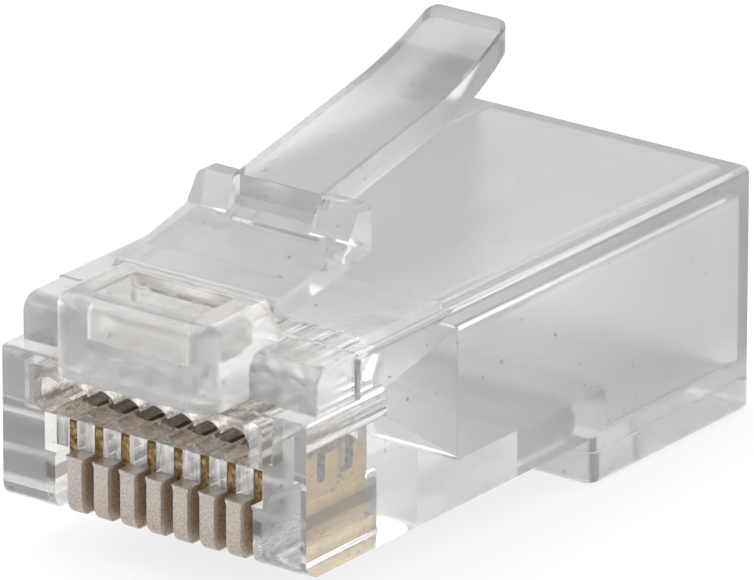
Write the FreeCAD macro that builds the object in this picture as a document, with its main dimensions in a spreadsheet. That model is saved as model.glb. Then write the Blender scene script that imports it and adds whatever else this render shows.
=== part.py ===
import FreeCAD, Part
import math
import os
import Sketcher

# Clear eight-way modular plug, latch side up, nose toward -Y and cable end toward +Y.
# Sizes are in millimetres. The sketches measure Y from the plane of the contact
# fingers and Z from their contact edge; the placements move everything to the frame.

SIZES = {
    # moulded body
    "body_width": 11.68,
    "body_length": 23.5,
    "body_height": 6.6,
    "body_side_round": 0.25,
    "body_rear_round": 0.1,
    "nose_height": 5.1,
    "nose_length": 2.7,
    "nose_foot_round": 0.6,
    "edge_bevel": 0.08,
    # raised step behind the nose
    "step_front": 0.77,
    "step_inset": 0.18,
    "step_drop": 0.05,
    "step_round": 0.6,
    "step_side_round": 0.1,
    # front boss around the wire holes
    "boss_width": 9.12,
    "boss_reach": 0.6,
    "boss_under_holes": 0.65,
    # block that carries the latch
    "block_width": 6.2,
    "block_reach": 1.2,
    "block_rear": 2.2,
    "block_rise": 1.26,
    "block_corner_round": 0.7,
    "block_edge_round": 0.5,
    "block_pocket_width": 3.9,
    "block_pocket_front": -0.47,
    "block_pocket_rear": 1.65,
    "block_pocket_depth": 1.45,
    "block_pocket_round": 0.2,
    # deep foot at the cable end
    "foot_front": 14.8,
    "foot_drop": 1.55,
    "foot_ledge": 0.5,
    "foot_lip": 0.12,
    "foot_web": 0.8,
    "foot_round": 0.5,
    "foot_edge_round": 0.2,
    # cable space
    "cavity_width": 9.6,
    "cavity_front": 8.4,
    "cavity_floor": 1.25,
    "roof_thickness": 0.94,
    "cavity_round": 0.5,
    "cavity_floor_round": 0.3,
    "mouth_front": 16.3,
    "mouth_floor": -0.3,
    "cavity_overrun": 0.6,
    # funnel from the cable space to the wire holes
    "funnel_front": 5.05,
    "funnel_half_height": 0.5,
    "funnel_edge": 0.05,
    # wire holes and contact slots
    "contact_count": 8,
    "contact_pitch": 1.02,
    "wire_hole_diameter": 1.13,
    "wire_hole_drop": 0.95,
    "wire_hole_end": 5.1,
    "slot_width": 0.48,
    "slot_mitre_bottom": 1.83,
    "slot_mitre_top": 2.0,
    "recess_width": 8.4,
    "slot_overrun": 0.2,
    "finger_round": 0.2,
    "contact_side_gap": 0.02,
    "contact_end_gap": 0.03,
    # contact blades
    "contact_thickness": 0.3,
    "contact_front": 0.62,
    "contact_rear": 4.23,
    "contact_heel": 4.7,
    "contact_heel_height": 0.55,
    "contact_height": 3.45,
    "contact_front_bevel": 0.3,
    "contact_front_round": 0.45,
    "groove_floor": 2.45,
    "groove_one_front": 1.72,
    "groove_one_rear": 2.18,
    "groove_two_front": 2.8,
    "groove_two_rear": 3.6,
    "groove_lean": 0.05,
    "groove_round": 0.1,
    "middle_prong_drop": 0.15,
    "tip_rear_drop": 0.5,
    # latch: root and ramp plate
    "hinge_y": 2.4,
    "hinge_rise": 0.95,
    "hinge_root_radius": 0.38,
    "hinge_gap": 0.02,
    "ramp_end_y": 5.79,
    "ramp_bend_y": 3.42,
    "ramp_bend_rise": 1.47,
    "ramp_rise": 2.04,
    "ramp_thickness": 0.84,
    # latch: stop ears
    "ear_top_front": 6.42,
    "ear_rear": 7.03,
    "ear_inner": 1.6,
    "ear_rise": 3.02,
    "ear_bottom_rise": 1.45,
    "ear_shelf_rise": 2.34,
    "ear_round": 0.24,
    # latch: lever
    "lever_root_width": 3.4,
    "lever_tip_width": 3.1,
    "lever_front": 6.3,
    "lever_front_rise": 3.18,
    "lever_knee_y": 12.2,
    "lever_knee_rise": 4.4,
    "lever_tip_y": 16.45,
    "lever_tip_rise": 6.0,
    "lever_under_knee": 0.7,
    "lever_thickness": 1.0,
    "lever_tip_thickness": 0.78,
    "lever_bevel": 0.08,
    "lever_tip_round": 0.45,
    # cable clamp
    "clamp_width": 9.2,
    "clamp_front": 11.74,
    "clamp_hinge_y": 14.2,
    "clamp_hinge_z": 0.62,
    "clamp_root_radius": 0.5,
    "clamp_side_gap": 0.1,
    "clamp_front_gap": 0.14,
    "clamp_relief": 0.35,
}

# Heights that follow the moulded body, so that the latch stays above it at any height.
FOLLOWING = {
    "step_height": "body_height - step_drop",
    "block_height": "body_height + block_rise",
    "cavity_roof": "body_height - roof_thickness",
    "wire_hole_height": "nose_height - wire_hole_drop",
    "boss_bottom": "wire_hole_height - boss_under_holes",
    "hinge_z": "body_height + hinge_rise",
    "ramp_bend_z": "body_height + ramp_bend_rise",
    "ramp_top_z": "body_height + ramp_rise",
    "ramp_bottom_z": "ramp_top_z - ramp_thickness",
    "ear_top_z": "body_height + ear_rise",
    "ear_bottom_z": "body_height + ear_bottom_rise",
    "ear_shelf_z": "body_height + ear_shelf_rise",
    "lever_front_z": "body_height + lever_front_rise",
    "lever_knee_z": "body_height + lever_knee_rise",
    "lever_tip_z": "body_height + lever_tip_rise",
}

os.makedirs("parts", exist_ok=True)
doc = FreeCAD.newDocument("modular_plug")
sheet = doc.addObject("Spreadsheet::Sheet", "size")
row = 0
for table, mark in ((SIZES, ""), (FOLLOWING, "=")):
    for word, value in table.items():
        row += 1
        sheet.set("A%d" % row, word)
        sheet.set("B%d" % row, mark + str(value))
        sheet.setAlias("B%d" % row, word)
doc.recompute()


def value_of(expression):
    """The number that an expression in sheet sizes comes to."""
    return float(sheet.evalExpression(expression))


def new_body(name, shifted=True):
    """A body; the shift stands the whole plug at the origin of the common frame."""
    body = doc.addObject("PartDesign::Body", name)
    body.Label = name
    if not shifted:
        return body
    shift = "-(size.body_length + size.foot_lip - size.block_reach) / 2"
    body.setExpression("Placement.Base.y", shift)
    body.setExpression("Placement.Base.z", "size.foot_drop")
    doc.recompute()
    return body


def sketch_on(body, name, plane, offset):
    """An empty sketch on a base plane of the body, moved along the plane's normal."""
    sketch = body.newObject("Sketcher::SketchObject", name)
    support = [item for item in body.Origin.OriginFeatures if item.Role == plane][0]
    sketch.AttachmentSupport = [(support, "")]
    sketch.MapMode = "FlatFace"
    sketch.setExpression("AttachmentOffset.Base.z", offset)
    return sketch


def hold_point(sketch, geometry, end, spot, wanted):
    """Ties one end of a line or arc to a pair of expressions."""
    for kind, expression, number in (("DistanceX", wanted[0], spot.x), ("DistanceY", wanted[1], spot.y)):
        place = sketch.addConstraint(Sketcher.Constraint(kind, -1, 1, geometry, end, number))
        sketch.setExpression("Constraints[%d]" % place, expression)


def arc_between(start, end, radius):
    """Arc that turns counter-clockwise from start to end; a negative radius turns it the other way."""
    if radius < 0:
        return arc_between(end, start, -radius)
    chord = end - start
    left = FreeCAD.Vector(-chord.y, chord.x, 0).normalize()
    centre = (start + end) * 0.5 + left * math.sqrt(max(radius ** 2 - chord.Length ** 2 / 4, 0))
    first = math.atan2(start.y - centre.y, start.x - centre.x)
    last = math.atan2(end.y - centre.y, end.x - centre.x)
    return Part.ArcOfCircle(Part.Circle(centre, FreeCAD.Vector(0, 0, 1), radius), first, last)


def add_outline(sketch, corners, rounds=()):
    """A closed outline through corners given as pairs of expressions.

    Rounds are corners, by number, that an arc of the given radius leads on from; the
    arcs turn clockwise, into the outline.
    """
    spots = [FreeCAD.Vector(value_of(u), value_of(v), 0) for u, v in corners]
    first = sketch.GeometryCount
    count = len(spots)
    radii = dict(rounds)
    ends = [(2, 1) if index in radii else (1, 2) for index in range(count)]
    for index in range(count):
        start = spots[index]
        end = spots[(index + 1) % count]
        if index in radii:
            sketch.addGeometry(arc_between(start, end, -value_of(radii[index])), False)
        else:
            sketch.addGeometry(Part.LineSegment(start, end), False)
    for index, wanted in enumerate(corners):
        this = first + index
        after = (index + 1) % count
        joined = Sketcher.Constraint("Coincident", this, ends[index][1], first + after, ends[after][0])
        sketch.addConstraint(joined)
        hold_point(sketch, this, ends[index][0], spots[index], wanted)
    for index, radius in radii.items():
        place = sketch.addConstraint(Sketcher.Constraint("Radius", first + index, value_of(radius)))
        sketch.setExpression("Constraints[%d]" % place, radius)


def add_chain(sketch, corners):
    """Open run of lines through corners given as pairs of expressions."""
    spots = [FreeCAD.Vector(value_of(u), value_of(v), 0) for u, v in corners]
    first = sketch.GeometryCount
    for index in range(len(spots) - 1):
        sketch.addGeometry(Part.LineSegment(spots[index], spots[index + 1]), False)
        if index:
            sketch.addConstraint(Sketcher.Constraint("Coincident", first + index - 1, 2, first + index, 1))
    last = len(corners) - 1
    for index, wanted in enumerate(corners):
        line, end = (first + index, 1) if index < last else (first + index - 1, 2)
        hold_point(sketch, line, end, spots[index], wanted)


def add_circle(sketch, u, v, radius):
    """A circle with its centre and radius given as expressions."""
    centre = FreeCAD.Vector(value_of(u), value_of(v), 0)
    up = FreeCAD.Vector(0, 0, 1)
    ring = sketch.addGeometry(Part.Circle(centre, up, value_of(radius)), False)
    limits = (
        (Sketcher.Constraint("DistanceX", -1, 1, ring, 3, centre.x), u),
        (Sketcher.Constraint("DistanceY", -1, 1, ring, 3, centre.y), v),
        (Sketcher.Constraint("Radius", ring, value_of(radius)), radius),
    )
    for limit, wanted in limits:
        place = sketch.addConstraint(limit)
        sketch.setExpression("Constraints[%d]" % place, wanted)


def finish_feature(body, feature, grows):
    """Recomputes and makes sure that the feature changed the volume the right way."""
    before = feature.BaseFeature.Shape.Volume if feature.BaseFeature else 0.0
    doc.recompute()
    change = feature.Shape.Volume - before
    if not feature.Shape.isValid() or (change > 0) != grows or abs(change) < 1e-5:
        raise ValueError("%s %s: volume change %.5f" % (body.Name, feature.Name, change))
    return feature


def extrude(body, name, plane, start, length, outlines=(), circles=(), cut=False, rounds=()):
    """Pads or pockets outlines from start over length, along the plane's normal."""
    sketch = sketch_on(body, name + "_sketch", plane, start)
    for corners in outlines:
        add_outline(sketch, corners, rounds)
    for u, v, radius in circles:
        add_circle(sketch, u, v, radius)
    kind = "PartDesign::Pocket" if cut else "PartDesign::Pad"
    feature = body.newObject(kind, name)
    feature.Profile = sketch
    feature.setExpression("Length", length)
    if cut:
        feature.Reversed = True
    return finish_feature(body, feature, not cut)


def across(body, name, width, outlines=(), circles=(), cut=False):
    """A side profile carried across the plug, centred on its middle plane."""
    return extrude(body, name, "YZ_Plane", "-(%s) / 2" % width, width, outlines, circles, cut)


def rectangle(low_u, high_u, low_v, high_v):
    return [(low_u, low_v), (high_u, low_v), (high_u, high_v), (low_u, high_v)]


def centred(width, low_v, high_v):
    """A rectangle centred on the first axis."""
    return rectangle("-(%s) / 2" % width, "(%s) / 2" % width, low_v, high_v)


def edges_near(shape, spots):
    """Names of the edges that pass through the given points."""
    names = []
    for spot in spots:
        vertex = Part.Vertex(FreeCAD.Vector(*spot))
        far = [edge.distToShape(vertex)[0] for edge in shape.Edges]
        best = min(range(len(far)), key=far.__getitem__)
        if far[best] > 0.02:
            raise ValueError("no edge at %s, nearest %.3f" % (spot, far[best]))
        names.append("Edge%d" % (best + 1))
    return sorted(set(names))


def dress(body, name, kind, size, spots):
    """Fillets or chamfers the edges through the given points."""
    base = body.Tip
    feature = body.newObject("PartDesign::" + kind, name)
    feature.Base = (base, edges_near(base.Shape, spots))
    feature.setExpression("Radius" if kind == "Fillet" else "Size", size)
    doc.recompute()
    change = feature.Shape.Volume - base.Shape.Volume
    if not feature.Shape.isValid() or abs(change) < 1e-6:
        raise ValueError("%s %s: nothing was dressed" % (body.Name, name))
    return feature


def repeat_across(body, name, features, sketch):
    """Repeats features once for each contact, one pitch apart."""
    pattern = body.newObject("PartDesign::LinearPattern", name)
    pattern.Originals = features
    pattern.Direction = (sketch, ["H_Axis"])
    pattern.setExpression("Length", "(size.contact_count - 1) * size.contact_pitch")
    pattern.setExpression("Occurrences", "size.contact_count")
    before = features[-1].Shape.Volume
    body.Tip = pattern
    doc.recompute()
    if not pattern.Shape.isValid() or pattern.Shape.Volume >= before - 1e-5:
        raise ValueError("%s was not repeated" % name)
    return pattern


def combine(body, name, other, kind):
    """Fuses another body into this one, or cuts it away."""
    before = body.Tip.Shape.Volume
    result = body.newObject("PartDesign::Boolean", name)
    result.addObjects([other])
    result.Type = kind
    doc.recompute()
    grown = result.Shape.Volume > before + 1e-5
    if not result.Shape.isValid() or grown != (kind == "Fuse") or len(result.Shape.Solids) != 1:
        raise ValueError("%s: %s failed" % (other.Name, kind))
    return result


def add_bend(sketch, line, line_end, corner, after):
    """Arc that leads smoothly on from the end of a line at one corner to the corner after it."""
    start, end = [FreeCAD.Vector(value_of(u), value_of(v), 0) for u, v in (corner, after)]
    shape = sketch.Geometry[line]
    other = shape.StartPoint if line_end == 2 else shape.EndPoint
    along = (start - other).normalize()
    chord = end - start
    radius = chord.Length ** 2 / (2 * (along.x * chord.y - along.y * chord.x))
    bend = sketch.addGeometry(arc_between(start, end, radius), False)
    sketch.addConstraint(Sketcher.Constraint("Tangent", line, line_end, bend, 1))
    return bend


def both_sides(x, y, z):
    return [(-x, y, z), (x, y, z)]


def make_shell(body):
    """Outside of the moulded body: nose, main box, raised step, foot and boss."""
    half = value_of("size.body_width / 2")
    length = value_of("size.body_length")
    height = value_of("size.body_height")
    nose_end = value_of("size.nose_length")
    nose_top = value_of("size.nose_height")
    foot_start = value_of("size.foot_front + size.foot_lip")
    profile = [
        ("0", "0"),
        ("0", "size.nose_height"),
        ("size.nose_length", "size.nose_height"),
        ("size.nose_length", "size.body_height"),
        ("size.body_length", "size.body_height"),
        ("size.body_length", "-size.foot_web"),
        ("size.foot_front + size.foot_lip", "-size.foot_web"),
        ("size.foot_front + size.foot_lip", "0"),
    ]
    across(body, "main_box", "size.body_width", [profile])
    middle = (nose_end + length) / 2
    dress(body, "long_edges", "Fillet", "size.body_side_round", both_sides(half, middle, height))
    dress(body, "nose_foot", "Fillet", "size.nose_foot_round", [(0, 0, 0)])
    dress(body, "rear_rim", "Fillet", "size.body_rear_round", [(0, length, height)])
    web_middle = value_of("-size.foot_web / 2")
    dress(body, "web_corners", "Fillet", "size.foot_round - size.foot_lip",
          both_sides(half, foot_start, web_middle))
    fine = [(0, 0, nose_top), (0, nose_end, height)]
    dress(body, "fine_edges", "Chamfer", "size.edge_bevel", fine)


def make_step():
    """Step behind the nose, lower and a little narrower than the main box."""
    body = new_body("step_shape", shifted=False)
    low = "size.cavity_floor"
    width = "size.body_width - 2 * size.step_inset"
    outline = [centred(width, "size.step_front", "size.nose_length + size.step_round")]
    extrude(body, "step", "XY_Plane", low, "size.step_height - size.cavity_floor", outline)
    half = value_of("size.body_width / 2 - size.step_inset")
    front = value_of("size.step_front")
    top = value_of("size.step_height")
    dress(body, "step_edge", "Fillet", "size.step_round", [(0, front, top)])
    dress(body, "step_sides", "Fillet", "size.step_side_round", both_sides(half, front, top / 2))
    return body


def make_boss():
    """Boss on the nose that the wire holes come out of."""
    body = new_body("boss_shape", shifted=False)
    outline = [centred("size.boss_width", "-size.boss_reach", "size.boss_reach")]
    extrude(body, "boss", "XY_Plane", "size.boss_bottom",
            "size.nose_height - size.edge_bevel - size.boss_bottom", outline)
    half = value_of("size.boss_width / 2")
    reach = value_of("-size.boss_reach")
    low = value_of("size.boss_bottom")
    dress(body, "boss_edges", "Chamfer", "size.edge_bevel",
          both_sides(half, reach, low + 0.5) + [(0, reach, low)])
    return body


def make_foot():
    """Deeper end that the cable goes into, a little wider than the box above it."""
    body = new_body("foot_shape", shifted=False)
    outline = [centred("size.body_width + 2 * size.foot_lip", "size.foot_front",
                       "size.body_length + size.foot_lip")]
    extrude(body, "foot", "XY_Plane", "-size.foot_drop", "size.foot_drop - size.foot_ledge", outline)
    half = value_of("size.body_width / 2 + size.foot_lip")
    front = value_of("size.foot_front")
    rear = value_of("size.body_length + size.foot_lip")
    low = value_of("-size.foot_drop")
    middle = value_of("-(size.foot_drop + size.foot_ledge) / 2")
    upright = both_sides(half, front, middle) + both_sides(half, rear, middle)
    dress(body, "foot_corners", "Fillet", "size.foot_round", upright)
    dress(body, "foot_edges", "Fillet", "size.foot_edge_round", [(0, front, low)])
    return body


def make_block():
    """Block on the nose that carries the latch, hollow from above."""
    body = new_body("block_shape", shifted=False)
    low = "size.nose_height"
    outline = [centred("size.block_width", "-size.block_reach", "size.block_rear")]
    extrude(body, "block", "XY_Plane", low, "size.block_height - size.nose_height", outline)
    half = value_of("size.block_width / 2")
    reach = value_of("-size.block_reach")
    top = value_of("size.block_height")
    middle = value_of("(size.block_height + size.nose_height) / 2")
    dress(body, "block_corners", "Fillet", "size.block_corner_round", both_sides(half, reach, middle))
    dress(body, "block_edge", "Fillet", "size.block_edge_round", [(0, reach, top)])
    hollow = [centred("size.block_pocket_width", "size.block_pocket_front", "size.block_pocket_rear")]
    extrude(body, "block_pocket", "XY_Plane", "size.block_height - size.block_pocket_depth",
            "size.block_pocket_depth + size.slot_overrun", hollow, cut=True)
    pocket_half = value_of("size.block_pocket_width / 2")
    pocket_middle = value_of("size.block_height - size.block_pocket_depth / 2")
    upright = both_sides(pocket_half, value_of("size.block_pocket_front"), pocket_middle)
    upright += both_sides(pocket_half, value_of("size.block_pocket_rear"), pocket_middle)
    dress(body, "block_pocket_corners", "Fillet", "size.block_pocket_round", upright)
    seat = [("size.hinge_y", "size.hinge_z", "size.hinge_root_radius + size.hinge_gap")]
    across(body, "latch_seat", "size.block_width + size.slot_overrun", circles=seat, cut=True)
    return body


def make_core():
    """Cable space: one level over the clamp and a deeper one at the mouth."""
    body = new_body("cavity_core", shifted=False)
    profile = [
        ("size.cavity_front", "size.cavity_floor"),
        ("size.cavity_front", "size.cavity_roof"),
        ("size.body_length + size.cavity_overrun", "size.cavity_roof"),
        ("size.body_length + size.cavity_overrun", "size.mouth_floor"),
        ("size.mouth_front", "size.mouth_floor"),
        ("size.mouth_front", "size.cavity_floor"),
    ]
    across(body, "core", "size.cavity_width", [profile])
    half = value_of("size.cavity_width / 2")
    middle = value_of("(size.mouth_front + size.body_length) / 2")
    roof = value_of("size.cavity_roof")
    floor = value_of("size.mouth_floor")
    dress(body, "core_roof", "Fillet", "size.cavity_round", both_sides(half, middle, roof))
    dress(body, "core_floor", "Fillet", "size.cavity_floor_round", both_sides(half, middle, floor))
    return body


def make_cavity(body):
    """Cuts the cable space and the funnel that leads it to the wire holes."""
    combine(body, "cavity", make_core(), "Cut")

    narrow = sketch_on(body, "funnel_narrow", "XZ_Plane", "-size.funnel_front")
    reach = "(size.contact_count - 1) * size.contact_pitch + size.wire_hole_diameter"
    low = "size.wire_hole_height - size.funnel_half_height"
    high = "size.wire_hole_height + size.funnel_half_height"
    add_outline(narrow, centred(reach, low, high))
    wide = sketch_on(body, "funnel_wide", "XZ_Plane", "-(size.cavity_front + size.funnel_edge)")
    add_outline(wide, centred("size.cavity_width - 2 * size.funnel_edge",
                              "size.cavity_floor + size.funnel_edge",
                              "size.cavity_roof - size.funnel_edge"))
    doc.recompute()
    funnel = body.newObject("PartDesign::SubtractiveLoft", "funnel")
    funnel.Profile = narrow
    funnel.Sections = [wide]
    funnel.Ruled = True
    finish_feature(body, funnel, False)


def make_front_recess(body):
    """Recess over the finger tips, as deep as the front edges of the contacts."""
    outline = rectangle("-size.slot_overrun", "size.contact_front - size.contact_end_gap",
                        "size.slot_mitre_top", "size.boss_bottom")
    across(body, "front_recess", "size.recess_width", [outline], cut=True)


def make_contact_slots(body):
    """Wire holes through the nose and the slots that the contacts slide in."""
    first = "-(size.contact_count - 1) / 2 * size.contact_pitch"
    hole = [(first, "size.wire_hole_height", "size.wire_hole_diameter / 2")]
    drilled = extrude(body, "wire_hole", "XZ_Plane", "-size.wire_hole_end",
                      "size.wire_hole_end + size.boss_reach + size.slot_overrun", circles=hole, cut=True)
    repeat_across(body, "wire_holes", [drilled], drilled.Profile[0])

    half = "size.slot_width / 2"
    thin = "(size.contact_thickness / 2 + size.contact_side_gap)"
    flared = "(%s + size.finger_round)" % half
    mitred = [
        ("%s - %s" % (first, flared), "0"),
        ("%s - %s" % (first, flared), "-size.slot_overrun"),
        ("%s + %s" % (first, flared), "-size.slot_overrun"),
        ("%s + %s" % (first, flared), "0"),
        ("%s + %s" % (first, half), "size.finger_round"),
        ("%s + %s" % (first, half), "size.slot_mitre_bottom"),
        ("%s + %s" % (first, thin), "size.slot_mitre_top"),
        ("%s - %s" % (first, thin), "size.slot_mitre_top"),
        ("%s - %s" % (first, half), "size.slot_mitre_bottom"),
        ("%s - %s" % (first, half), "size.finger_round"),
    ]
    rear = "size.contact_heel + size.contact_end_gap"
    wide = extrude(body, "wide_slot", "XZ_Plane", "-(%s)" % rear, "%s + size.slot_overrun" % rear,
                   [mitred], cut=True, rounds=[(3, "size.finger_round"), (9, "size.finger_round")])
    window = rectangle("size.contact_front - size.contact_end_gap", "size.contact_rear + size.contact_end_gap",
                       "size.slot_mitre_bottom", "size.wire_hole_height")
    narrow = extrude(body, "narrow_slot", "YZ_Plane", "%s - %s" % (first, thin), "2 * %s" % thin,
                     [window], cut=True)
    repeat_across(body, "contact_slots", [wide, narrow], wide.Profile[0])


def make_clamp_window(body):
    """Window in the floor with the rounded seat that the cable clamp turns in."""
    front = "size.clamp_front - size.clamp_front_gap"
    behind = "size.clamp_hinge_y + size.clamp_relief"
    profile = [
        (front, "-size.slot_overrun"),
        (front, "size.cavity_floor + size.slot_overrun"),
        (behind, "size.cavity_floor + size.slot_overrun"),
        (behind, "size.clamp_hinge_z"),
        ("size.clamp_hinge_y", "size.clamp_hinge_z"),
        ("size.clamp_hinge_y", "-size.slot_overrun"),
    ]
    width = "size.clamp_width + 2 * size.clamp_side_gap"
    across(body, "clamp_window", width, [profile], cut=True)
    seat = [("size.clamp_hinge_y", "size.clamp_hinge_z", "size.clamp_root_radius + size.hinge_gap")]
    across(body, "clamp_seat", width, circles=seat, cut=True)


def make_housing():
    body = new_body("housing")
    make_shell(body)
    for name, maker in (("with_step", make_step), ("with_boss", make_boss), ("with_foot", make_foot),
                        ("with_block", make_block)):
        combine(body, name, maker(), "Fuse")
    make_cavity(body)
    make_front_recess(body)
    make_contact_slots(body)
    make_clamp_window(body)
    return body


def make_lever(body):
    """Lever: a straight part behind the ears and an upturned, narrower end."""
    slope = "(size.lever_knee_z - size.lever_front_z) / (size.lever_knee_y - size.lever_front)"
    under = "size.lever_front_z - size.lever_thickness + (%s - size.lever_front) * " + slope
    low_knee_y = "(size.lever_knee_y + size.lever_under_knee)"
    high_knee = ("size.lever_knee_y", "size.lever_knee_z")
    low_knee = (low_knee_y, under % low_knee_y)
    high_tip = ("size.lever_tip_y", "size.lever_tip_z")
    low_tip = ("size.lever_tip_y", "size.lever_tip_z - size.lever_tip_thickness")
    corners = [
        high_knee,
        ("size.lever_front", "size.lever_front_z"),
        ("size.lever_front", "size.ramp_bottom_z"),
        ("size.ear_rear", "size.ear_bottom_z"),
        ("size.ear_rear", under % "size.ear_rear"),
        low_knee,
    ]
    sketch = sketch_on(body, "lever_sketch", "YZ_Plane", "-size.lever_root_width / 2")
    add_chain(sketch, corners)
    high_bend = add_bend(sketch, 0, 1, high_knee, high_tip)
    low_bend = add_bend(sketch, len(corners) - 2, 2, low_knee, low_tip)
    add_chain(sketch, [high_tip, low_tip])
    sketch.addConstraint(Sketcher.Constraint("Coincident", high_bend, 2, low_bend + 1, 1))
    sketch.addConstraint(Sketcher.Constraint("Coincident", low_bend, 2, low_bend + 1, 2))
    lever = body.newObject("PartDesign::Pad", "lever")
    lever.Profile = sketch
    lever.setExpression("Length", "size.lever_root_width")
    finish_feature(body, lever, True)

    wide = "size.lever_root_width / 2 + size.slot_overrun"
    past = "size.lever_tip_y + size.slot_overrun"
    right = [
        ("size.lever_root_width / 2", "size.lever_knee_y"),
        (wide, "size.lever_knee_y"),
        (wide, past),
        ("size.lever_tip_width / 2", past),
        ("size.lever_tip_width / 2", "size.lever_tip_y"),
    ]
    left = [("-(%s)" % u, v) for u, v in right]
    extrude(body, "lever_taper", "XY_Plane", "size.ramp_bottom_z", "size.lever_tip_z - size.ramp_bottom_z",
            [right, left], cut=True)

    tip = value_of("size.lever_tip_y")
    tip_middle = value_of("size.lever_tip_z - size.lever_tip_thickness / 2")
    dress(body, "tip_corners", "Fillet", "size.lever_tip_round",
          both_sides(value_of("size.lever_tip_width / 2"), tip, tip_middle))
    knee_y = value_of("size.lever_knee_y")
    knee_z = value_of("size.lever_knee_z")
    arc = sketch.Geometry[high_bend]
    bent = arc.value((arc.FirstParameter + arc.LastParameter) / 2)
    straight_y = (value_of("size.ear_rear") + knee_y) / 2
    straight_z = knee_z - (knee_y - straight_y) * value_of(slope)
    narrowing = value_of("(size.lever_root_width - size.lever_tip_width) / 2")
    bent_half = value_of("size.lever_root_width / 2") - narrowing * (bent.x - knee_y) / (tip - knee_y)
    spots = both_sides(value_of("size.lever_root_width / 2"), straight_y, straight_z)
    spots += both_sides(bent_half, bent.x, bent.y)
    dress(body, "lever_bevels", "Chamfer", "size.lever_bevel", spots)


def make_latch():
    """Sprung latch: rounded root, ramp plate, two stop ears and the lever."""
    body = new_body("latch")
    root_top = "size.hinge_z + size.hinge_root_radius"
    root_bottom = "size.hinge_z - size.hinge_root_radius"
    plate = [
        ("size.hinge_y", root_bottom),
        ("size.hinge_y", root_top),
        ("size.ramp_bend_y", "size.ramp_bend_z"),
        ("size.ramp_end_y", "size.ramp_top_z"),
        ("size.ear_rear", "size.ear_shelf_z"),
        ("size.ear_rear", "size.ear_bottom_z"),
        ("size.ramp_end_y", "size.ramp_bottom_z"),
    ]
    across(body, "plate", "size.block_width", [plate])
    root = [("size.hinge_y", "size.hinge_z", "size.hinge_root_radius")]
    across(body, "root", "size.block_width", circles=root)
    ear = [
        ("size.ramp_end_y", "size.ramp_top_z"),
        ("size.ear_top_front", "size.ear_top_z"),
        ("size.ear_rear", "size.ear_top_z"),
        ("size.ear_rear", "size.ear_bottom_z"),
        ("size.ramp_end_y", "size.ramp_bottom_z"),
    ]
    ear_width = "size.block_width / 2 - size.ear_inner"
    extrude(body, "right_ear", "YZ_Plane", "size.ear_inner", ear_width, [ear])
    extrude(body, "left_ear", "YZ_Plane", "-size.block_width / 2", ear_width, [ear])
    half = value_of("size.block_width / 2")
    ear_middle = value_of("(size.ear_top_front + size.ear_rear) / 2")
    ear_top = value_of("size.ear_top_z")
    dress(body, "ear_corners", "Fillet", "size.ear_round", both_sides(half, ear_middle, ear_top))
    make_lever(body)
    return body


def make_contact(number):
    """One contact blade with two grooves that leave three prongs."""
    body = new_body("contact_%d" % number)
    middle = "(%d - (size.contact_count + 1) / 2) * size.contact_pitch" % number
    low = "size.groove_floor"
    high = "size.contact_height"
    profile = [
        ("size.contact_front", "0"),
        ("size.contact_heel", "0"),
        ("size.contact_heel", "size.contact_heel_height"),
        ("size.contact_rear", "size.contact_heel_height"),
        ("size.contact_rear", "size.contact_height - size.tip_rear_drop"),
        ("size.groove_two_rear", high),
        ("size.groove_two_rear - size.groove_lean", low),
        ("size.groove_two_front + size.groove_lean", low),
        ("size.groove_two_front", "size.contact_height - size.middle_prong_drop"),
        ("size.groove_one_rear", "size.contact_height - size.middle_prong_drop"),
        ("size.groove_one_rear - size.groove_lean", low),
        ("size.groove_one_front + size.groove_lean", low),
        ("size.groove_one_front", high),
        ("size.contact_front + size.contact_front_bevel", high),
        ("size.contact_front", "size.contact_height - size.contact_front_bevel"),
    ]
    start = "%s - size.contact_thickness / 2" % middle
    extrude(body, "blade_%d" % number, "YZ_Plane", start, "size.contact_thickness", [profile])
    spot = (value_of(middle), value_of("size.contact_front"), 0)
    dress(body, "blade_round_%d" % number, "Fillet", "size.contact_front_round", [spot])
    feet = [(value_of(middle), value_of(foot), value_of(low)) for foot in (
        "size.groove_one_front + size.groove_lean", "size.groove_one_rear - size.groove_lean",
        "size.groove_two_front + size.groove_lean", "size.groove_two_rear - size.groove_lean")]
    dress(body, "groove_rounds_%d" % number, "Fillet", "size.groove_round", feet)
    return body


def make_cable_clamp():
    """Wedge in the floor that turns inward on its rounded rear end."""
    body = new_body("cable_clamp")
    low = "size.clamp_hinge_z - size.clamp_root_radius"
    high = "size.clamp_hinge_z + size.clamp_root_radius"
    profile = [
        ("size.clamp_front", low),
        ("size.clamp_hinge_y", low),
        ("size.clamp_hinge_y", high),
        ("size.clamp_front", high),
    ]
    across(body, "wedge", "size.clamp_width", [profile])
    root = [("size.clamp_hinge_y", "size.clamp_hinge_z", "size.clamp_root_radius")]
    across(body, "wedge_root", "size.clamp_width", circles=root)
    return body


bodies = [make_housing(), make_latch(), make_cable_clamp()]
for contact_number in range(1, SIZES["contact_count"] + 1):
    bodies.append(make_contact(contact_number))

doc.recompute()
for item in doc.Objects:
    if "Invalid" in item.State or "Error" in item.State:
        raise ValueError("%s is in state %s" % (item.Name, item.State))
for body in bodies:
    if body.Shape.isNull() or not body.Shape.isValid():
        raise ValueError("%s has no valid shape" % body.Label)
    body.Shape.exportStep(os.path.join("parts", body.Label + ".step"))
    box = body.Shape.BoundBox
    print("%-12s solids %d  x %.2f %.2f  y %.2f %.2f  z %.2f %.2f" % (
        body.Label, len(body.Shape.Solids), box.XMin, box.XMax, box.YMin, box.YMax, box.ZMin, box.ZMax))
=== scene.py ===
import math
from functools import reduce

import bpy
from mathutils import Matrix, Vector

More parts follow.
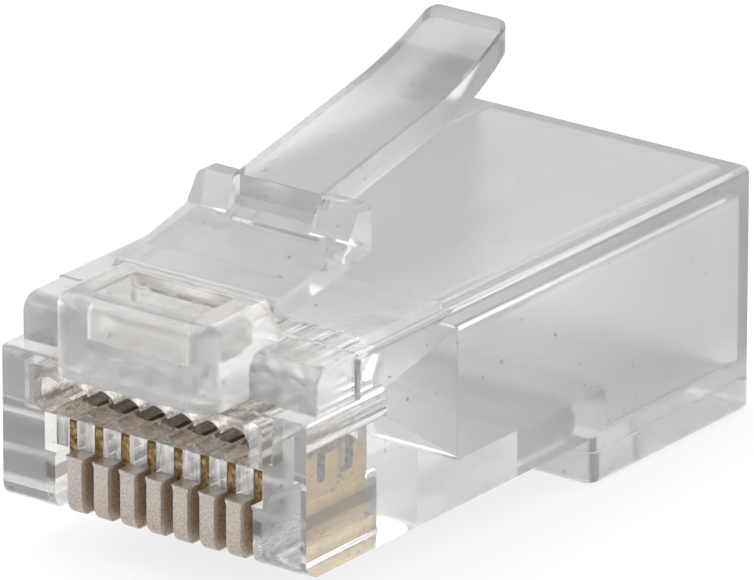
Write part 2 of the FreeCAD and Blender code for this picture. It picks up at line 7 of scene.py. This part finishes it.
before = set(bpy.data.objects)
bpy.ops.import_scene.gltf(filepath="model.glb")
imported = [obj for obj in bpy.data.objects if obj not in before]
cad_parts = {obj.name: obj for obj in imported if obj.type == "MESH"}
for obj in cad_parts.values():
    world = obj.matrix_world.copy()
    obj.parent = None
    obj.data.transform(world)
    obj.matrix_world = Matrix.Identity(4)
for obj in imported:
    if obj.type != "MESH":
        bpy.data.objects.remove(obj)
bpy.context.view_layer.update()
scene = bpy.context.scene

MM = 0.001

# Borders of the masks on the part at rest, in mm: X is half a width, Y grows toward the
# cable end, and Z grows upward from the foot
FINGER_ROW_X = 3.52
FINGER_TOP_Z = 3.52
SLOT_REAR_Y = -6.6
SLOT_WALL_X = 3.715
MITRE_BOTTOM_Z = 2.65
MITRE_TOP_Z = 3.11
RUBBED_TOP_Z = 2.575
RECESS_X = 4.125
PANE_BOTTOM_Z = 3.58
PANE_REAR_Y = -10.35
HOLES_BOTTOM_Z = 4.95
HOLES_TOP_Z = 6.7
HOLES_FRONT_Y = -12.125
HOLES_REAR_Y = -7.8
BLOCK_BOTTOM_Z = 6.5
BLOCK_REAR_Y = -9.25
SHEAR_LINE_BOTTOM_Z = 4.39
SHEAR_LINE_TOP_Z = 4.51


# Node graphs

class Graph:
    """Node tree of a material or of the world, with short calls for the nodes used here.

    A value is a number, a colour as a tuple, or an output socket of another node.
    """

    def __init__(self, owner, output_kind):
        owner.use_nodes = True
        self.tree = owner.node_tree
        self.tree.nodes.clear()
        self.surface = self.add(output_kind).inputs["Surface"]

    def add(self, kind):
        return self.tree.nodes.new(kind)

    def give(self, socket, value):
        """Links an output socket to an input, or sets a number or a colour on it."""
        if isinstance(value, bpy.types.NodeSocket):
            self.tree.links.new(value, socket)
        elif isinstance(value, tuple) and socket.type == "RGBA":
            socket.default_value = (*value, 1.0)
        else:
            socket.default_value = value

    def shader(self, kind, settings):
        node = self.add(kind)
        for name, value in settings.items():
            self.give(node.inputs[name], value)
        return node.outputs[0]

    def coordinate(self, kind):
        """Object is the place on the part at rest, in metres, and Normal its direction there."""
        return self.add("ShaderNodeTexCoord").outputs[kind]

    def split(self, vector):
        node = self.add("ShaderNodeSeparateXYZ")
        self.give(node.inputs["Vector"], vector)
        return node.outputs["X"], node.outputs["Y"], node.outputs["Z"]

    def noise(self, vector, scale, detail=2.0, roughness=0.5, stretch=None):
        """Noise value; scale is in cells per metre, and stretch multiplies it per axis."""
        if stretch:
            mapping = self.add("ShaderNodeMapping")
            self.give(mapping.inputs["Scale"], stretch)
            self.give(mapping.inputs["Vector"], vector)
            vector = mapping.outputs["Vector"]
        node = self.add("ShaderNodeTexNoise")
        for name, value in (("Vector", vector), ("Scale", scale), ("Detail", detail),
                            ("Roughness", roughness)):
            self.give(node.inputs[name], value)
        return node.outputs["Fac"]

    def remap(self, value, low, high, to_low, to_high, smooth=False):
        node = self.add("ShaderNodeMapRange")
        node.interpolation_type = "SMOOTHSTEP" if smooth else "LINEAR"
        for name, number in (("Value", value), ("From Min", low), ("From Max", high),
                             ("To Min", to_low), ("To Max", to_high)):
            self.give(node.inputs[name], number)
        return node.outputs["Result"]

    def along(self, axis, zero_at, one_at, smooth=False):
        """Goes from 0 to 1 between two places on an axis, in mm."""
        return self.remap(axis, zero_at * MM, one_at * MM, 0.0, 1.0, smooth)

    def above(self, axis, border, fade):
        """1 past a border on an axis and 0 before it, with a fade across it, in mm."""
        return self.along(axis, border - fade / 2, border + fade / 2)

    def below(self, axis, border, fade):
        """1 before a border on an axis and 0 past it, with a fade across it, in mm."""
        return self.along(axis, border + fade / 2, border - fade / 2)

    def math(self, operation, first, second=0.0):
        node = self.add("ShaderNodeMath")
        node.operation = operation
        self.give(node.inputs[0], first)
        self.give(node.inputs[1], second)
        return node.outputs["Value"]

    def product(self, *values):
        return reduce(lambda first, second: self.math("MULTIPLY", first, second), values)

    def total(self, *values):
        return reduce(lambda first, second: self.math("ADD", first, second), values)

    def largest(self, *values):
        return reduce(lambda first, second: self.math("MAXIMUM", first, second), values)

    def mix(self, factor, first, second):
        """Colour between two colours."""
        node = self.add("ShaderNodeMix")
        node.data_type = "RGBA"
        self.give(node.inputs["Factor"], factor)
        self.give(node.inputs[6], first)
        self.give(node.inputs[7], second)
        return node.outputs[2]

    def bump(self, height, strength, distance):
        node = self.add("ShaderNodeBump")
        for name, value in (("Strength", strength), ("Distance", distance), ("Height", height)):
            self.give(node.inputs[name], value)
        return node.outputs["Normal"]


# Clear moulded plastic

# Plastic colours from CLEAR at the nose through GREY to the darker ones at the cable end and the
# latch tip; the darkening is painted shade.
CLEAR = (0.985, 0.98, 0.973)
GREY = (0.75, 0.741, 0.733)
REAR_SHADE = (0.58, 0.573, 0.567)
SHADE = (0.43, 0.425, 0.42)
SPECK = tuple(0.5 * part for part in GREY)


class Plastic:
    """Clear plastic, slightly milky, with flow lines, faint smears and specks.

    tints are the colours at the nose, in the middle and at far_end, in mm along Y, darkening as
    painted shade;
    polish and haze are the roughness and the share of scattered light at the nose and behind it.
    """

    def __init__(self, name, shaded_tints, polish, haze, far_end=10.0):
        self.material = bpy.data.materials.new(name)
        self.graph = g = Graph(self.material, "ShaderNodeOutputMaterial")
        self.spot = g.coordinate("Object")
        x, self.y, self.z = g.split(self.spot)
        self.across = g.math("ABSOLUTE", x)

        thick_floor = g.remap(self.z, 0.8 * MM, 3.2 * MM, 0.5, 1.0, smooth=True)
        rough = g.product(thick_floor, g.along(self.y, -7.0, 4.0, smooth=True))
        behind = g.product(thick_floor, g.along(self.y, -7.5, -1.0, smooth=True))
        far = g.product(thick_floor, g.along(self.y, -1.0, far_end, smooth=True))
        latch_block = g.product(g.above(self.z, BLOCK_BOTTOM_Z, 0.6),
                                g.below(self.y, BLOCK_REAR_Y, 1.5))

        smears = g.noise(self.spot, 420, detail=4, roughness=0.6, stretch=(1.0, 0.35, 1.0))
        self.roughness = g.total(g.remap(rough, 0.0, 1.0, *polish),
                                 g.remap(smears, 0.45, 0.75, 0.0, 0.06),
                                 g.product(latch_block, 0.13))
        self.clearness = g.remap(behind, 0.0, 1.0, 1.0 - haze[0], 1.0 - haze[1])
        # Painted shade: the colour darkens from the nose toward far_end, a little less near the
        # foot.
        shaded_tint = g.mix(far, g.mix(behind, shaded_tints[0], shaded_tints[1]), shaded_tints[2])
        dust = g.noise(self.spot, 3800, detail=1, roughness=0.4)
        specks = g.remap(dust, 0.742, 0.757, 0.0, 1.0)
        self.colour = g.mix(specks, shaded_tint, SPECK)
        ripples = g.noise(self.spot, 260, detail=1, stretch=(1.0, 0.4, 1.0))
        flow_lines = g.noise(self.spot, 5200, stretch=(1.0, 0.05, 1.0))
        self.height = g.total(ripples, g.remap(flow_lines, 0.58, 0.7, 0.0, 0.02),
                              g.product(latch_block, self.cutter_rings()))

    def cutter_rings(self):
        """Faint rings left by the cutter in the mould."""
        rings = self.graph.add("ShaderNodeTexWave")
        rings.wave_type = "RINGS"
        rings.rings_direction = "SPHERICAL"
        for name, value in (("Vector", self.spot), ("Scale", 1300.0), ("Distortion", 3.0),
                            ("Detail Scale", 400.0)):
            self.graph.give(rings.inputs[name], value)
        return self.graph.product(rings.outputs["Fac"], 0.06)

    def roughen(self, mask, amount):
        self.roughness = self.graph.total(self.roughness, self.graph.product(mask, amount))

    def cloud(self, mask, amount):
        """Lets less light through where the mask is 1."""
        self.clearness = self.graph.math("SUBTRACT", self.clearness,
                                         self.graph.product(mask, amount))

    def frost_and_shade_fingers(self):
        """Spark-eroded texture on the contact fingers, tinted sandy by painted light from the gold
        behind them and brown by painted shade at their sides and feet.
        """
        g = self.graph
        mask = g.product(g.below(self.across, FINGER_ROW_X, 0.04),
                         g.below(self.z, FINGER_TOP_Z, 0.04),
                         g.below(self.y, SLOT_REAR_Y, 0.4))
        grain = g.noise(self.spot, 14000, detail=3, roughness=0.7)
        self.height = g.total(self.height, g.product(grain, mask))
        self.roughen(mask, 0.3)
        self.cloud(mask, 0.35)
        grains = g.remap(grain, 0.38, 0.6, 0.0, 1.0)
        # Painted light: the sandy tint stands in for the gold blades seen through the frost.
        sandy_gold_light = g.mix(grains, (0.66, 0.545, 0.45), (1.0, 0.96, 0.91))
        # Painted shade: brown on the finger sides behind their front faces and toward their feet.
        shade_brown = g.mix(grains, (0.40, 0.285, 0.18), (0.86, 0.72, 0.58))
        shaded_sides = g.along(self.y, -11.15, -10.95, smooth=True)
        shaded_feet = g.product(g.along(self.z, 3.0, 1.7, smooth=True), 0.6)
        frosted_and_shaded = g.mix(g.largest(shaded_sides, shaded_feet), sandy_gold_light, shade_brown)
        self.colour = g.mix(mask, self.colour, frosted_and_shaded)

    def dust_wire_holes(self):
        """Brown speckle in the row of wire holes."""
        g = self.graph
        mask = g.product(g.above(self.z, HOLES_BOTTOM_Z, 0.1),
                         g.below(self.z, HOLES_TOP_Z, 0.2),
                         g.above(self.y, HOLES_FRONT_Y, 0.05),
                         g.below(self.y, HOLES_REAR_Y, 0.4),
                         g.below(self.across, RECESS_X, 0.05))
        grains = g.noise(self.spot, 8000, detail=3, roughness=0.65)
        speckle = g.remap(grains, 0.44, 0.58, 0.0, 1.0)
        stain = g.mix(speckle, (0.50, 0.39, 0.29), (1.0, 0.97, 0.94))
        self.colour = g.mix(mask, self.colour, stain)
        self.roughen(mask, 0.18)

    def streak_panes(self):
        """Upright streaks on the recessed panes between the blades."""
        g = self.graph
        mask = g.product(g.above(self.z, PANE_BOTTOM_Z, 0.04),
                         g.below(self.z, HOLES_BOTTOM_Z, 0.1),
                         g.below(self.y, PANE_REAR_Y, 0.1),
                         g.below(self.across, RECESS_X, 0.05))
        streaks = g.noise(self.spot, 3600, stretch=(1.0, 1.0, 0.15))
        self.cloud(mask, g.remap(streaks, 0.4, 0.62, 0.05, 0.45))

    def shade_and_rub_slot_walls(self):
        """Dark band of painted shade at the blade mitres, and rubbed foot, on the walls beside the
        outermost blades.
        """
        g = self.graph
        wall = g.product(g.above(self.across, SLOT_WALL_X, 0.03),
                         g.below(self.across, RECESS_X + 0.025, 0.1),
                         g.below(self.y, SLOT_REAR_Y, 0.4))
        # Painted shade: a dark band at the height of the blade mitres.
        mitre_shade_band = g.product(wall, g.above(self.z, MITRE_BOTTOM_Z, 0.06),
                         g.below(self.z, MITRE_TOP_Z, 0.06))
        self.colour = g.mix(mitre_shade_band, self.colour, (0.32, 0.29, 0.235))
        foot = g.product(wall, g.below(self.z, RUBBED_TOP_Z, 0.05))
        rubbed = g.noise(self.spot, 9000, stretch=(1.0, 0.12, 1.0))
        self.cloud(foot, g.remap(rubbed, 0.42, 0.62, 0.0, 0.22))

    def finished(self):
        """Joins what was worked out to the shader, and gives the material."""
        g = self.graph
        g.give(g.surface, g.shader("ShaderNodeBsdfPrincipled", {
            "Base Color": self.colour,
            "Roughness": self.roughness,
            "Transmission Weight": self.clearness,
            "Normal": g.bump(self.height, 0.2, 0.06 * MM),
            "IOR": 1.58,
            "Coat Weight": 0.3,
            "Coat Roughness": 0.04,
        }))
        return self.material


def housing_plastic():
    plastic = Plastic("housing_plastic", (CLEAR, GREY, REAR_SHADE), (0.03, 0.2), (0.085, 0.22))
    plastic.frost_and_shade_fingers()
    plastic.dust_wire_holes()
    plastic.streak_panes()
    plastic.shade_and_rub_slot_walls()
    return plastic.finished()


def latch_plastic():
    # Painted shade: the latch darkens toward its tip.
    shaded_tints = (GREY, GREY, SHADE)
    return Plastic("latch_plastic", shaded_tints, (0.07, 0.1), (0.12, 0.12), far_end=4.5).finished()


def clamp_plastic():
    return Plastic("clamp_plastic", (GREY, GREY, GREY), (0.15, 0.15), (0.1, 0.1)).finished()


# Gold-plated contact metal

def gold_plate():
    """Worn gold plating, with darker sheared edges, rolling lines and small marks."""
    material = bpy.data.materials.new("gold_plate")
    g = Graph(material, "ShaderNodeOutputMaterial")
    spot = g.coordinate("Object")
    z = g.split(spot)[2]
    facing = g.math("ABSOLUTE", g.split(g.coordinate("Normal"))[0])
    cloud = g.noise(spot, 1500, detail=3, roughness=0.55)
    plated = g.mix(g.remap(cloud, 0.3, 0.7, 0.0, 1.0), (0.34, 0.21, 0.05), (0.57, 0.39, 0.13))
    grit = g.remap(g.noise(spot, 5200, detail=3, roughness=0.6), 0.4, 0.62, 0.0, 1.0)
    sheared = g.mix(grit, (0.13, 0.08, 0.03), (0.44, 0.31, 0.15))
    colour = g.mix(g.remap(facing, 0.4, 0.6, 0.0, 1.0), sheared, plated)
    spots = g.remap(g.noise(spot, 4200), 0.66, 0.74, 0.0, 1.0)
    shear_line = g.product(g.above(z, SHEAR_LINE_BOTTOM_Z, 0.04),
                           g.below(z, SHEAR_LINE_TOP_Z, 0.04),
                           g.remap(facing, 0.4, 0.6, 0.8, 0.0))
    rolling_lines = g.noise(spot, 5200, stretch=(1.0, 0.12, 1.0))
    g.give(g.surface, g.shader("ShaderNodeBsdfPrincipled", {
        "Base Color": g.mix(g.largest(spots, shear_line), colour, (0.07, 0.045, 0.025)),
        "Roughness": g.remap(cloud, 0.3, 0.7, 0.24, 0.42),
        "Normal": g.bump(rolling_lines, 0.35, 0.02 * MM),
        "Metallic": 1.0,
    }))
    return material


def dress(names, material):
    """Puts one material on CAD nodes."""
    for name in names:
        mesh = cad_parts[name].data
        mesh.materials.clear()
        mesh.materials.append(material)


dress(["housing"], housing_plastic())
dress(["latch"], latch_plastic())
dress(["cable_clamp"], clamp_plastic())
dress(["contact_%d" % number for number in range(1, 9)], gold_plate())


# Floor, world and lamps

WHITE = (1.0, 1.0, 1.0)
PLUG_MIDDLE = Vector((0.0, 0.0, 0.005))


def seen_directly(graph):
    """1 for camera, glossy and transmission rays, which show the plain white surroundings."""
    path = graph.add("ShaderNodeLightPath").outputs
    return graph.largest(path["Is Camera Ray"], path["Is Glossy Ray"], path["Is Transmission Ray"])


def make_floor():
    """Sheet of white paper just under the part."""
    side, drop = 3.0, 0.02 * MM
    corners = [(-side, -side, -drop), (side, -side, -drop), (side, side, -drop),
               (-side, side, -drop)]
    mesh = bpy.data.meshes.new("floor")
    mesh.from_pydata(corners, [], [(0, 1, 2, 3)])
    floor = bpy.data.objects.new("floor", mesh)
    scene.collection.objects.link(floor)
    material = bpy.data.materials.new("floor_paper")
    g = Graph(material, "ShaderNodeOutputMaterial")
    blend = g.add("ShaderNodeMixShader")
    g.give(blend.inputs["Fac"], g.product(seen_directly(g), 0.8))
    g.give(blend.inputs[1], g.shader("ShaderNodeBsdfDiffuse", {"Color": (0.95, 0.95, 0.95)}))
    g.give(blend.inputs[2], g.shader("ShaderNodeEmission", {"Color": WHITE}))
    g.give(g.surface, blend.outputs["Shader"])
    mesh.materials.append(material)


def make_world():
    """White all round, a little dimmer overhead."""
    world = bpy.data.worlds.new("studio")
    g = Graph(world, "ShaderNodeOutputWorld")
    height = g.split(g.coordinate("Generated"))[2]
    strength = g.remap(height, 0.1, 0.6, 1.0, 0.8, smooth=True)
    g.give(g.surface, g.shader("ShaderNodeBackground", {"Color": WHITE, "Strength": strength}))
    scene.world = world


def lamp(name, spot, width, height, power):
    """Soft lamp turned to the part."""
    data = bpy.data.lights.new(name, "AREA")
    data.shape = "RECTANGLE"
    data.size = width
    data.size_y = height
    data.energy = power
    light = bpy.data.objects.new(name, data)
    scene.collection.objects.link(light)
    light.location = spot
    light.rotation_mode = "QUATERNION"
    light.rotation_quaternion = (PLUG_MIDDLE - Vector(spot)).to_track_quat("-Z", "Y")


make_floor()
make_world()
lamp("key", (-0.35, -0.15, 0.55), 0.80, 0.80, 3.6)
lamp("back", (0.10, 0.55, 0.40), 0.80, 0.50, 2.2)


# Camera

CAMERA_PLACE = (0.2221921, -0.3009825, 0.1476146)
CAMERA_TO_THE_RIGHT = math.radians(36.407)
CAMERA_ABOVE = math.radians(20.6863)
CAMERA_ROLL = math.radians(0.1067)
FOCAL_LENGTH_MM = 611.7
SENSOR_WIDTH_MM = 36.0


def make_camera():
    """Long lens from the front right and above, as in the photograph."""
    azimuth, elevation, roll = CAMERA_TO_THE_RIGHT, CAMERA_ABOVE, CAMERA_ROLL
    back = Vector((math.sin(azimuth) * math.cos(elevation),
                   -math.cos(azimuth) * math.cos(elevation), math.sin(elevation)))
    level = Vector((math.cos(azimuth), math.sin(azimuth), 0.0))
    upright = back.cross(level)
    right = level * math.cos(roll) + upright * math.sin(roll)
    up = back.cross(right)
    data = bpy.data.cameras.new("camera")
    data.sensor_fit = "HORIZONTAL"
    data.sensor_width = SENSOR_WIDTH_MM
    data.lens = FOCAL_LENGTH_MM
    data.clip_start = 0.01
    data.clip_end = 20.0
    camera = bpy.data.objects.new("camera", data)
    scene.collection.objects.link(camera)
    turn = Matrix((right, up, back)).transposed().to_4x4()
    camera.matrix_world = Matrix.Translation(CAMERA_PLACE) @ turn
    scene.camera = camera


make_camera()
scene.view_settings.view_transform = "Standard"
scene.cycles.max_bounces = 24
scene.cycles.transmission_bounces = 24
scene.cycles.glossy_bounces = 24
